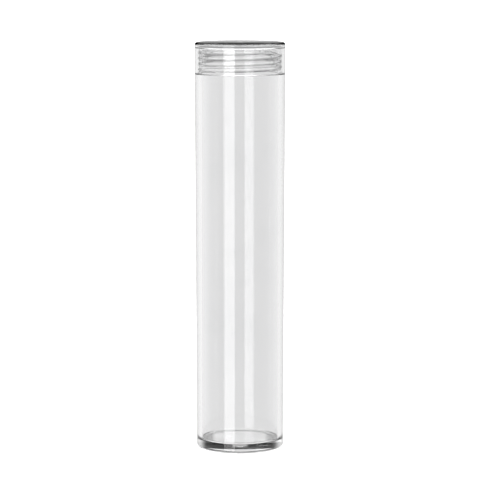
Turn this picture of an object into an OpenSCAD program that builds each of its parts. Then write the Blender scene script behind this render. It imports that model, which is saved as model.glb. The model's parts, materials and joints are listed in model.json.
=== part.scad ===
// A clear screw-top tube for a stack of coins: a moulded tube with a threaded neck, and a plain round
// lid that covers the neck and sits flush with the tube. The tube stands on z = 0 around the z axis,
// and the lid is screwed down.

/* [Coin] */
// Diameter of the largest coin that the tube takes
coin_d = 25; // [16:0.1:40]
// Play all round the coin in the bore
coin_gap = 0.2; // [0.1:0.05:0.5]

/* [Tube] */
// Height of the closed tube, from the foot to the top of the lid
overall_h = 135; // [60:1:200]
// Thickness of the floor under the coins
floor_t = 2.8; // [1.6:0.1:4]
// Wall of the neck inside its thread
neck_wall = 0.85; // [0.6:0.05:1.6]
// How far the outside leans in between the shoulder and the foot
draft = 0.55; // [0.2:0.05:0.9]
// Radius round the outside of the foot
foot_round = 1.2; // [0.6:0.1:1.6]
// Radius between the floor and the bore
floor_round = 1; // [0.4:0.1:2]
// Width of the ring that the tube stands on
foot_ring_w = 2.6; // [1:0.1:4]
// Depth of the recess inside that ring
recess_h = 0.45; // [0.3:0.05:0.8]
// Radius on the edge of the shoulder
shoulder_round = 0.1; // [0.05:0.05:0.5]
// Radius in the corner between the shoulder and the neck
neck_fillet = 0.25; // [0.1:0.05:0.3]
// Radius on both edges of the rim
rim_round = 0.25; // [0.1:0.05:0.3]

/* [Thread] */
// Rise of the neck's ridge in one turn
thread_pitch = 1.85; // [1.5:0.05:2.4]
// Height of the ridge above the neck
thread_h = 0.4; // [0.25:0.05:0.6]
// Gap between the ridge and the lid's wall
thread_gap = 0.1; // [0.08:0.01:0.25]
// Share of the pitch that the rounded ridge takes up
thread_width_share = 0.94; // [0.8:0.01:0.96]
// Plain neck past each end of the ridge
thread_margin = 0.25; // [0.2:0.05:1]
// Angle round the neck at which the ridge starts, in degrees
thread_start = 150; // [0:5:355]
// Turn over which the ridge rises from the neck, in degrees
lead_angle = 40; // [20:5:90]

/* [Lid] */
// Height of the lid
lid_h = 10.2; // [8.5:0.1:16]
// Thickness of the lid's top
lid_top_t = 1.6; // [1:0.1:2.5]
// Wall of the lid's skirt
lid_wall = 0.95; // [0.7:0.05:1.8]
// Radius round the lid's top
lid_round = 0.8; // [0.3:0.1:0.9]
// Radius in the corner between the lid's ceiling and its skirt
ceiling_fillet = 0.3; // [0.1:0.05:0.3]
// Radius on the lower edge of the skirt
skirt_round = 0.1; // [0.05:0.05:0.4]
// Bevel inside the lower edge of the skirt
skirt_bevel = 0.3; // [0.1:0.05:0.4]
// Gap between the skirt and the shoulder
skirt_gap = 0.15; // [0.1:0.05:0.6]
// Gap between the rim and the lid's ceiling
seat_gap = 0.05; // [0.03:0.01:0.1]

/* [Gate marks] */
// Diameter of the moulding mark at the middle of the foot and of the lid
gate_d = 2; // [1:0.1:3]
// Height or depth of that mark
gate_h = 0.2; // [0.1:0.05:0.25]

/* [Hidden] */

CLEAR = [0.90, 0.91, 0.92, 0.35];
$fn = 128;
// Straight pieces in a quarter of a round edge
arc_steps = 6;
// Pieces in one turn of the ridge
turn_steps = 48;
// Pieces across the ridge
ridge_steps = 6;
// How far the edges of the rounded ridge lie under the neck's surface
ridge_sink = 0.05;
// How far the ridge's base reaches into the neck
ridge_root = 0.3;

bore_r = coin_d / 2 + coin_gap;
neck_r = bore_r + neck_wall;
lid_bore_r = neck_r + thread_h + thread_gap;
lid_r = lid_bore_r + lid_wall;
foot_r = lid_r - draft;
recess_r = foot_r - foot_round - foot_ring_w;

lid_z = overall_h - lid_h;
shoulder_z = lid_z - skirt_gap;
ceiling_z = overall_h - lid_top_t;
rim_z = ceiling_z - seat_gap;

ridge_half = thread_pitch * thread_width_share / 2;
thread_low_z = shoulder_z + thread_margin + ridge_half;
thread_high_z = rim_z - thread_margin - ridge_half;

// Points of an arc in the profile's plane, with both ends
function arc(x, z, r, from, to) =
    [for (i = [0:arc_steps]) let (a = from + (to - from) * i / arc_steps) [x + r * cos(a), z + r * sin(a)]];

// How much of the ridge stands up at a turn angle, from 0 at its ends to 1
function ramp(a, length) =
    let (u = min(1, a / lead_angle, (length - a) / lead_angle)) u * u * (3 - 2 * u);

// The ridge's rounded cross-section with its base, as radius and height over the ridge's middle
function ridge_outline(edge_r, crest_r) = concat(
    [[neck_r - ridge_root, -ridge_half]],
    [for (k = [0:ridge_steps]) let (u = 2 * k / ridge_steps - 1)
        [edge_r + (crest_r - edge_r) * (1 + cos(180 * u)) / 2, ridge_half * u]],
    [[neck_r - ridge_root, ridge_half]]);

// The ridge's cross-section at turn angle a, with its middle at height z
function ridge_section(a, z, edge_r, crest_r) =
    [for (p = ridge_outline(edge_r, crest_r))
        [p[0] * cos(thread_start + a), p[0] * sin(thread_start + a), z + p[1]]];

// A right-hand helical ridge round the neck, which rises from the wall and sinks back into it
module neck_thread() {
    length = 360 * (thread_high_z - thread_low_z) / thread_pitch;
    steps = ceil(length / 360 * turn_steps);
    edge_r = neck_r - ridge_sink;
    n = ridge_steps + 3;
    points = [for (i = [0:steps]) let (a = length * i / steps)
        each ridge_section(a, thread_low_z + thread_pitch * a / 360,
            edge_r, edge_r + (thread_h + ridge_sink) * ramp(a, length))];
    sides = [for (i = [0:steps - 1], k = [0:n - 1]) let (low = n * i, m = (k + 1) % n)
        each [[low + k, low + n + k, low + m], [low + m, low + n + k, low + n + m]]];
    ends = [for (k = [1:n - 2]) each [[0, k, k + 1], [n * steps, n * steps + k + 1, n * steps + k]]];
    polyhedron(points, concat(sides, ends));
}

module tube_profile() {
    polygon(concat(
        [[0, recess_h - gate_h], [gate_d / 2, recess_h - gate_h], [gate_d / 2, recess_h],
            [recess_r, recess_h], [recess_r + recess_h, 0]],
        arc(foot_r - foot_round, foot_round, foot_round, -90, 0),
        arc(lid_r - shoulder_round, shoulder_z - shoulder_round, shoulder_round, 0, 90),
        arc(neck_r + neck_fillet, shoulder_z + neck_fillet, neck_fillet, 270, 180),
        arc(neck_r - rim_round, rim_z - rim_round, rim_round, 0, 90),
        arc(bore_r + rim_round, rim_z - rim_round, rim_round, 90, 180),
        arc(bore_r - floor_round, floor_t + floor_round, floor_round, 0, -90),
        [[0, floor_t]]
    ));
}

module lid_profile() {
    polygon(concat(
        [[0, ceiling_z]],
        arc(lid_bore_r - ceiling_fillet, ceiling_z - ceiling_fillet, ceiling_fillet, 90, 0),
        [[lid_bore_r, lid_z + skirt_bevel], [lid_bore_r + skirt_bevel, lid_z]],
        arc(lid_r - skirt_round, lid_z + skirt_round, skirt_round, -90, 0),
        arc(lid_r - lid_round, overall_h - lid_round, lid_round, 0, 90),
        [[gate_d / 2, overall_h], [gate_d / 2, overall_h - gate_h], [0, overall_h - gate_h]]
    ));
}

module tube_body() {
    color(CLEAR) {
        rotate_extrude() tube_profile();
        neck_thread();
    }
}

module screw_lid() {
    color(CLEAR) rotate_extrude() lid_profile();
}

tube_body();
screw_lid();
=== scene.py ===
"""A clear round coin tube with a threaded neck and a flush screw lid, standing in a white studio.

Lengths in this file are in millimetres, and MM turns them into metres. Angles are in degrees.
"""
import json
import math

import bmesh
import bpy
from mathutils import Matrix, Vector


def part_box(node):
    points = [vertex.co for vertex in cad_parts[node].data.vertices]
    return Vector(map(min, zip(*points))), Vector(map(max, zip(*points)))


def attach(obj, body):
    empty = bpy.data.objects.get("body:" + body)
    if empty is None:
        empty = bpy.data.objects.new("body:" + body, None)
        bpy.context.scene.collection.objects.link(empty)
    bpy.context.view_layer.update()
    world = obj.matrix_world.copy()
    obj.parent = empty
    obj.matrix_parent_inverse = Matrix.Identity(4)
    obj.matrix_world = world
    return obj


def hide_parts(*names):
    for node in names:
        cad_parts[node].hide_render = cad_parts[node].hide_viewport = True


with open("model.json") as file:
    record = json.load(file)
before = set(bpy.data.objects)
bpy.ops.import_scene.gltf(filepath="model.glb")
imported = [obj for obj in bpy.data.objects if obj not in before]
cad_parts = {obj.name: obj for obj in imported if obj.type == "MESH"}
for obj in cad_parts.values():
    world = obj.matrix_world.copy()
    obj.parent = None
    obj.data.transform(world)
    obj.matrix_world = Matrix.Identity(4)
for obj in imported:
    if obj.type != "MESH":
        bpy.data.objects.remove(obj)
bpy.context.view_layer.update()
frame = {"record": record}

MM = 0.001
TAU = 2 * math.pi
FULL_TURN = 360
HALF_TURN = 180


def in_mm(metres):
    """A length of the frame in millimetres, to the nearest micrometre."""
    return round(metres / MM, 3)


# Sizes taken from the frame
coin_bore = next(m for m in frame["record"]["mounts"] if m["name"] == "coin_bore")
LID_LOW, LID_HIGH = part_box("screw_lid")
TUBE_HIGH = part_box("tube_body")[1]
LID_R = in_mm(LID_HIGH.x)
TOP_Z = in_mm(LID_HIGH.z)
LID_Z = in_mm(LID_LOW.z)
RIM_Z = in_mm(TUBE_HIGH.z)
BORE_R = coin_bore["dims"]["r_mm"]

# The edges of the floor and foot, the recess, the gate marks, the lid's bevel and the neck's ridge
# are finer here than in the solids, by less than half a millimetre: they look closer to the
# picture so

# Sizes of the tube
NECK_WALL = 0.85
DRAFT = 0.55
FLOOR_T = 2.8
FLOOR_ROUND = 0.7
FOOT_ROUND = 0.8
FOOT_RING_W = 2.6
RECESS_H = 0.2
SHOULDER_ROUND = 0.1
NECK_FILLET = 0.25
RIM_ROUND = 0.25
SKIRT_GAP = 0.15

# Sizes of the threads
PITCH = 1.85
THREAD_H = 0.3
THREAD_GAP = 0.2
THREAD_WIDTH_SHARE = 0.94
THREAD_MARGIN = 0.25
THREAD_START = 150
LEAD_ANGLE = 40
RIDGE_SINK = 0.05
LID_THREAD_H = 0.15
LID_THREAD_MARGIN = 0.3
LID_THREAD_TURNS = 1.0
LID_BREAK = 25

# Sizes of the lid
LID_TOP_T = 1.6
LID_ROUND = 0.8
TOP_CROWN = 0.05
CEILING_FILLET = 0.3
SKIRT_ROUND = 0.1
SKIRT_BEVEL = 0.1

# Gate marks
GATE_R = 1.0
GATE_H = 0.1

# Fineness of the meshes
RING_POINTS = 288
THREAD_ROW = 0.06
ARC_STEP = 10
SUPPORT = 0.03
SUPPORTED_OVER = 0.12
CROWN_STEPS = 12
SHARP_OVER = 35
TINY = 1e-6

NECK_R = BORE_R + NECK_WALL
LID_BORE_R = NECK_R + THREAD_H + THREAD_GAP
FOOT_R = LID_R - DRAFT
RECESS_R = FOOT_R - FOOT_ROUND - FOOT_RING_W
SHOULDER_Z = LID_Z - SKIRT_GAP
CEILING_Z = TOP_Z - LID_TOP_T
RIDGE_HALF = PITCH * THREAD_WIDTH_SHARE / 2
NECK_THREAD_LOW = SHOULDER_Z + THREAD_MARGIN + RIDGE_HALF
NECK_THREAD_HIGH = RIM_Z - THREAD_MARGIN - RIDGE_HALF
LID_THREAD_LOW = LID_Z + LID_THREAD_MARGIN + RIDGE_HALF
LID_THREAD_HIGH = LID_THREAD_LOW + LID_THREAD_TURNS * PITCH


def arc(r, z, radius, start, end):
    """Points of an arc in the profile's plane, with both ends."""
    steps = max(2, math.ceil(abs(end - start) / ARC_STEP))
    angles = [math.radians(start + (end - start) * i / steps) for i in range(steps + 1)]
    return [(r + radius * math.cos(a), z + radius * math.sin(a)) for a in angles]


def rows(r, z_from, z_to, step):
    """Points straight up or down a wall, evenly spaced, without the ends."""
    count = max(2, math.ceil(abs(z_to - z_from) / step))
    return [(r, z_from + (z_to - z_from) * i / count) for i in range(1, count)]


def supported(profile):
    """A profile with a point near each end of its long straight pieces, so they are shaded flat."""
    points = [profile[0]]
    for start, end in zip(profile, profile[1:]):
        length = math.dist(start, end)
        if length > SUPPORTED_OVER:
            for share in (SUPPORT / length, 1 - SUPPORT / length):
                r = start[0] + (end[0] - start[0]) * share
                z = start[1] + (end[1] - start[1]) * share
                points.append((r, z))
        points.append(end)
    return points


def smooth_step(x):
    """0 up to x = 0, 1 from x = 1 on, and smooth between them."""
    x = min(1.0, max(0.0, x))
    return x * x * (3 - 2 * x)


def ridge(turns, z, height, low, high, start_z):
    """How far a rounded right-hand helical ridge stands out of its wall at a turn and a height.

    Its middle passes turn 0 at start_z and rises one pitch a turn, and the ridge runs from low to
    high.
    """
    middle = start_z + PITCH * (turns + round((z - start_z) / PITCH - turns))
    across = (z - middle) / RIDGE_HALF
    if middle < low or middle > high or abs(across) > 1:
        return 0.0
    lead_rise = PITCH * LEAD_ANGLE / FULL_TURN
    lead = smooth_step(min(middle - low, high - middle) / lead_rise)
    bump = (1 + math.cos(math.pi * across)) / 2
    return max(0.0, (height + RIDGE_SINK) * lead * bump - RIDGE_SINK)


def neck_thread(turns, r, z):
    """The neck's ridge stands on the outside of the neck only."""
    if abs(r - NECK_R) > TINY:
        return 0.0
    return ridge(turns, z, THREAD_H, NECK_THREAD_LOW, NECK_THREAD_HIGH, NECK_THREAD_LOW)


def lid_thread(turns, r, z):
    """The lid's ridge lies between the neck's turns, and a break on each side parts it."""
    if abs(r - LID_BORE_R) > TINY:
        return 0.0
    angle = TAU * turns + math.radians(THREAD_START)
    from_side = math.degrees(math.asin(abs(math.sin(angle))))
    height = LID_THREAD_H * smooth_step((from_side - LID_BREAK) / LEAD_ANGLE)
    return -ridge(turns, z, height, LID_THREAD_LOW, LID_THREAD_HIGH, NECK_THREAD_LOW + PITCH / 2)


def revolve(name, profile, thread):
    """A closed mesh of revolution whose profile starts and ends on the axis.

    thread(turns, r, z) gives how far a point of the profile is moved away from the axis.
    """
    bm = bmesh.new()
    rings = []
    profile = supported(profile)
    for r, z in profile[1:-1]:
        ring = []
        for i in range(RING_POINTS):
            angle = TAU * i / RING_POINTS
            wall = r + thread(i / RING_POINTS - THREAD_START / FULL_TURN, r, z)
            place = Vector((wall * math.cos(angle), wall * math.sin(angle), z)) * MM
            ring.append(bm.verts.new(place))
        rings.append(ring)
    first = bm.verts.new((0, 0, profile[0][1] * MM))
    last = bm.verts.new((0, 0, profile[-1][1] * MM))
    for i in range(RING_POINTS):
        j = (i + 1) % RING_POINTS
        bm.faces.new((first, rings[0][j], rings[0][i]))
        bm.faces.new((last, rings[-1][i], rings[-1][j]))
        for lower, upper in zip(rings, rings[1:]):
            bm.faces.new((lower[i], lower[j], upper[j], upper[i]))
    bmesh.ops.recalc_face_normals(bm, faces=bm.faces)
    mesh = bpy.data.meshes.new(name)
    bm.to_mesh(mesh)
    bm.free()
    mesh.polygons.foreach_set("use_smooth", [True] * len(mesh.polygons))
    mesh.set_sharp_from_angle(angle=math.radians(SHARP_OVER))
    piece = bpy.data.objects.new(name, mesh)
    bpy.context.scene.collection.objects.link(piece)
    return piece


def tube_profile():
    """From the middle of the foot, up the outside, over the rim and down the bore to the floor."""
    gate_z = RECESS_H - GATE_H
    return (
        [(0, gate_z), (GATE_R, gate_z), (GATE_R, RECESS_H)]
        + [(RECESS_R, RECESS_H), (RECESS_R + RECESS_H, 0)]
        + arc(FOOT_R - FOOT_ROUND, FOOT_ROUND, FOOT_ROUND, -90, 0)
        + arc(LID_R - SHOULDER_ROUND, SHOULDER_Z - SHOULDER_ROUND, SHOULDER_ROUND, 0, 90)
        + arc(NECK_R + NECK_FILLET, SHOULDER_Z + NECK_FILLET, NECK_FILLET, 270, 180)
        + rows(NECK_R, SHOULDER_Z + NECK_FILLET, RIM_Z - RIM_ROUND, THREAD_ROW)
        + arc(NECK_R - RIM_ROUND, RIM_Z - RIM_ROUND, RIM_ROUND, 0, 90)
        + arc(BORE_R + RIM_ROUND, RIM_Z - RIM_ROUND, RIM_ROUND, 90, 180)
        + arc(BORE_R - FLOOR_ROUND, FLOOR_T + FLOOR_ROUND, FLOOR_ROUND, 0, -90)
        + [(0, FLOOR_T)]
    )


def crown():
    """The lid's top from its rounded edge to the gate mark, rising a little to the middle."""
    edge = LID_R - LID_ROUND
    shares = [i / CROWN_STEPS for i in range(CROWN_STEPS)]
    return [(edge + (GATE_R - edge) * u, TOP_Z - TOP_CROWN * (1 - u) ** 2) for u in shares]


def lid_profile():
    """From the middle of the ceiling, down the inside, round the skirt's edge and up to the top."""
    gate_z = TOP_Z - GATE_H
    return (
        [(0, CEILING_Z)]
        + arc(LID_BORE_R - CEILING_FILLET, CEILING_Z - CEILING_FILLET, CEILING_FILLET, 90, 0)
        + rows(LID_BORE_R, CEILING_Z - CEILING_FILLET, LID_Z + SKIRT_BEVEL, THREAD_ROW)
        + [(LID_BORE_R, LID_Z + SKIRT_BEVEL), (LID_BORE_R + SKIRT_BEVEL, LID_Z)]
        + arc(LID_R - SKIRT_ROUND, LID_Z + SKIRT_ROUND, SKIRT_ROUND, -90, 0)
        + arc(LID_R - LID_ROUND, TOP_Z - TOP_CROWN - LID_ROUND, LID_ROUND, 0, 90)[:-1]
        + crown()
        + [(GATE_R, TOP_Z), (GATE_R, gate_z), (0, gate_z)]
    )


def add_node(tree, kind, inputs, **settings):
    """The first output of a new node, whose inputs are linked or set in order, or left at None."""
    node = tree.nodes.new(kind)
    for name, value in settings.items():
        setattr(node, name, value)
    for socket, value in zip(node.inputs, inputs):
        if isinstance(value, bpy.types.NodeSocket):
            tree.links.new(value, socket)
        elif value is not None:
            socket.default_value = value
    return node.outputs[0]


def maths(tree, operation, *inputs):
    """The result of one operation on linked or fixed values."""
    return add_node(tree, "ShaderNodeMath", inputs, operation=operation)


def product(tree, *factors):
    """All the factors multiplied."""
    total = factors[0]
    for factor in factors[1:]:
        total = maths(tree, "MULTIPLY", total, factor)
    return total


def between(tree, value, low, high):
    """0 where a value is low, 1 where it is high, smooth between; high may be the smaller one."""
    inputs = (value, low, high, 0, 1)
    return add_node(tree, "ShaderNodeMapRange", inputs, interpolation_type="SMOOTHSTEP")


def grey(level):
    """A grey in the form that a colour socket takes."""
    return (level, level, level, 1)


# Plastic
PLASTIC_IOR = 1.5
CLEAR_TINT = (0.975, 0.975, 0.977, 1)
HAZY_TINT = (0.955, 0.957, 0.960, 1)
CLEANEST = 0.0
HAZIEST = 0.035
HAZE_PATCH = 14
HAZE_DETAIL = 4
HAZE_FROM = (0.5, 0.75)
WAVE_LENGTH = 9
WAVE_DETAIL = 1
WAVE_HEIGHT = 0.004
TUBE_OFFSET = 1
LID_OFFSET = 2


def noise(tree, where, length, detail, offset):
    """Noise from 0 to 1, with patches about a length across; each piece has its own offset."""
    shift = (offset, offset, offset)
    place = add_node(tree, "ShaderNodeVectorMath", (where, shift), operation="ADD")
    return add_node(tree, "ShaderNodeTexNoise", (place, None, 1 / (length * MM), detail))


def clear_plastic(name, offset):
    """Polished clear plastic, with the faint waves of moulding and a little haze in patches."""
    material = bpy.data.materials.new(name)
    material.use_nodes = True
    tree = material.node_tree
    shader = tree.nodes["Principled BSDF"]
    shader.inputs["Transmission Weight"].default_value = 1.0
    shader.inputs["IOR"].default_value = PLASTIC_IOR
    coordinates = tree.nodes.new("ShaderNodeTexCoord")
    where = coordinates.outputs["Object"]
    haze = between(tree, noise(tree, where, HAZE_PATCH, HAZE_DETAIL, offset), *HAZE_FROM)
    tint = tree.nodes.new("ShaderNodeMix")
    tint.data_type = "RGBA"
    tint.inputs["A"].default_value = CLEAR_TINT
    tint.inputs["B"].default_value = HAZY_TINT
    tree.links.new(haze, tint.inputs["Factor"])
    tree.links.new(tint.outputs["Result"], shader.inputs["Base Color"])
    roughness = add_node(tree, "ShaderNodeMapRange", (haze, 0, 1, CLEANEST, HAZIEST))
    tree.links.new(roughness, shader.inputs["Roughness"])
    waves = noise(tree, where, WAVE_LENGTH, WAVE_DETAIL, -offset)
    bump = tree.nodes.new("ShaderNodeBump")
    bump.inputs["Distance"].default_value = WAVE_HEIGHT * MM
    tree.links.new(waves, bump.inputs["Height"])
    tree.links.new(bump.outputs["Normal"], shader.inputs["Normal"])
    return material


def finish_piece(piece, body, node, material):
    """Let a piece ride on its body, stand for its node and wear its material."""
    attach(piece, body)
    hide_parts(node)
    piece.data.materials.append(material)


tube_shell = revolve("tube_shell", tube_profile(), neck_thread)
tube_plastic = clear_plastic("clear_tube_plastic", TUBE_OFFSET)
finish_piece(tube_shell, "tube", "tube_body", tube_plastic)

lid_shell = revolve("lid_shell", lid_profile(), lid_thread)
lid_plastic = clear_plastic("clear_lid_plastic", LID_OFFSET)
finish_piece(lid_shell, "lid", "screw_lid", lid_plastic)

# Camera
CAMERA_BACK = 773
CAMERA_UP = 174
AIM_UP = 69.3
LENS = 176
SENSOR = 36
NEAREST = 10

camera_data = bpy.data.cameras.new("camera")
camera_data.lens = LENS
camera_data.sensor_width = SENSOR
camera_data.clip_start = NEAREST * MM
camera = bpy.data.objects.new("camera", camera_data)
camera.location = Vector((0, -CAMERA_BACK, CAMERA_UP)) * MM
view = Vector((0, 0, AIM_UP)) * MM - camera.location
camera.rotation_euler = view.to_track_quat("-Z", "Y").to_euler()
bpy.context.scene.collection.objects.link(camera)
bpy.context.scene.camera = camera

# Floor
FLOOR_HALF = 20000
FLOOR_LEVEL = 0.9
FLOOR_GLOW = 0.2

signs = [(-1, -1), (1, -1), (1, 1), (-1, 1)]
corners = [(x * FLOOR_HALF * MM, y * FLOOR_HALF * MM, 0) for x, y in signs]
floor_mesh = bpy.data.meshes.new("floor")
floor_mesh.from_pydata(corners, [], [(0, 1, 2, 3)])
floor = bpy.data.objects.new("floor", floor_mesh)
bpy.context.scene.collection.objects.link(floor)
floor_paint = bpy.data.materials.new("floor_paint")
floor_paint.use_nodes = True
floor_shader = floor_paint.node_tree.nodes["Principled BSDF"]
floor_shader.inputs["Base Color"].default_value = grey(FLOOR_LEVEL)
floor_shader.inputs["Roughness"].default_value = 1.0
floor_shader.inputs["Specular IOR Level"].default_value = 0.0
floor_shader.inputs["Emission Color"].default_value = grey(1)
floor_shader.inputs["Emission Strength"].default_value = FLOOR_GLOW
floor_mesh.materials.append(floor_paint)
# The plastic mirrors and bends only the studio's own levels, which go on below the floor
floor.visible_glossy = False
floor.visible_transmission = False

# Studio: levels that the plastic sees, by direction. Azimuths count from straight behind the tube
# to its right, and elevations from the horizon. A pair gives where a level starts and where it is
# full. The panels are alike on both sides, so their azimuths have no sign.
WALL_LEVELS = (
    (-180, 0.75), (-150, 0.76), (-120, 0.80), (-90, 0.88), (-60, 0.95), (-37, 0.95), (-22, 0.88),
    (-15, 0.84), (-9, 0.78), (-4, 0.75), (5, 0.75), (9, 0.76), (15, 0.80), (22, 0.85), (37, 0.92),
    (60, 0.92), (90, 0.85), (120, 0.79), (150, 0.75), (180, 0.75),
)
WALL_TOP = (3.9, 1.9)
CEILING_LEVEL = 3.0
CEILING_BOTTOM = (30, 45)
HIGH_PANEL_LEVEL = 0.8
HIGH_PANEL_AZIMUTH = (42, 30)
HIGH_PANEL_BOTTOM = (19, 30)
SIDE_PANEL_LEVEL = 0.8
SIDE_PANEL_AZIMUTH = (38, 62)
SIDE_PANEL_TOP = (20, 16)
BACK_PANEL_LEVEL = 1.0
BACK_PANEL_AZIMUTH = (8, 5)
BACK_PANEL_BOTTOM = (9.5, 11)
BACK_PANEL_TOP = (12.70, 12.62)
BACKDROP_WHITE = 1.1


def wall_level(tree, azimuth):
    """The grey level of the studio's walls at an azimuth."""
    inputs = (azimuth, -HALF_TURN, HALF_TURN, 0, 1)
    share = add_node(tree, "ShaderNodeMapRange", inputs)
    ramp = tree.nodes.new("ShaderNodeValToRGB")
    elements = ramp.color_ramp.elements
    for at, _ in WALL_LEVELS[1:-1]:
        elements.new((at + HALF_TURN) / FULL_TURN)
    for element, (_, level) in zip(elements, WALL_LEVELS):
        element.color = grey(level)
    tree.links.new(share, ramp.inputs["Fac"])
    return ramp.outputs["Color"]


def panel(tree, level, *edges):
    """A level inside all of its edges and 0 outside; each edge is a value and its pair."""
    inside = [between(tree, value, *pair) for value, pair in edges]
    return product(tree, *inside, level)


def studio_level(tree):
    """Pale walls, a dark band over them with pale panels in and over it, and a bright ceiling."""
    where = tree.nodes.new("ShaderNodeTexCoord")
    split = tree.nodes.new("ShaderNodeSeparateXYZ")
    tree.links.new(where.outputs["Generated"], split.inputs[0])
    x, y, z = split.outputs
    elevation = maths(tree, "DEGREES", maths(tree, "ARCSINE", z))
    azimuth = maths(tree, "DEGREES", maths(tree, "ARCTAN2", x, y))
    off_back = maths(tree, "ABSOLUTE", azimuth)
    side_edges = ((off_back, SIDE_PANEL_AZIMUTH), (elevation, SIDE_PANEL_TOP))
    high_edges = ((off_back, HIGH_PANEL_AZIMUTH), (elevation, HIGH_PANEL_BOTTOM))
    back_edges = (
        (off_back, BACK_PANEL_AZIMUTH),
        (elevation, BACK_PANEL_BOTTOM),
        (elevation, BACK_PANEL_TOP),
    )
    parts = (
        panel(tree, CEILING_LEVEL, (elevation, CEILING_BOTTOM)),
        panel(tree, SIDE_PANEL_LEVEL, *side_edges),
        panel(tree, BACK_PANEL_LEVEL, *back_edges),
        panel(tree, HIGH_PANEL_LEVEL, *high_edges),
    )
    level = panel(tree, wall_level(tree, azimuth), (elevation, WALL_TOP))
    for part in parts:
        level = maths(tree, "MAXIMUM", level, part)
    return level


def light_studio():
    """The camera itself sees a plain white backdrop, and all else sees the studio's levels."""
    world = bpy.data.worlds.new("studio")
    world.use_nodes = True
    tree = world.node_tree
    shaped = tree.nodes.new("ShaderNodeBackground")
    tree.links.new(studio_level(tree), shaped.inputs["Color"])
    backdrop = tree.nodes["Background"]
    backdrop.inputs["Color"].default_value = grey(1)
    backdrop.inputs["Strength"].default_value = BACKDROP_WHITE
    path = tree.nodes.new("ShaderNodeLightPath")
    seen = path.outputs["Is Camera Ray"]
    inputs = (seen, shaped.outputs[0], backdrop.outputs[0])
    mixed = add_node(tree, "ShaderNodeMixShader", inputs)
    tree.links.new(mixed, tree.nodes["World Output"].inputs["Surface"])
    bpy.context.scene.world = world


light_studio()

# Softbox: a tall strip in front on the left, mirrored as one bright band in the front and as
# another in the bore's back wall
SOFTBOX_TURN = 28.6
SOFTBOX_AWAY = 700
SOFTBOX_W = 360
SOFTBOX_H = 2000
SOFTBOX_WATTS = 6.3

softbox_data = bpy.data.lights.new("softbox", "AREA")
softbox_data.shape = "RECTANGLE"
softbox_data.size = SOFTBOX_W * MM
softbox_data.size_y = SOFTBOX_H * MM
softbox_data.energy = SOFTBOX_WATTS
softbox = bpy.data.objects.new("softbox", softbox_data)
softbox_turn = math.radians(SOFTBOX_TURN)
to_softbox = Vector((-math.sin(softbox_turn), -math.cos(softbox_turn), 0))
softbox.location = to_softbox * SOFTBOX_AWAY * MM
softbox.rotation_euler = (-softbox.location).to_track_quat("-Z", "Y").to_euler()
softbox.visible_camera = False
softbox.visible_diffuse = False
bpy.context.scene.collection.objects.link(softbox)

bpy.context.scene.view_settings.view_transform = "Standard"
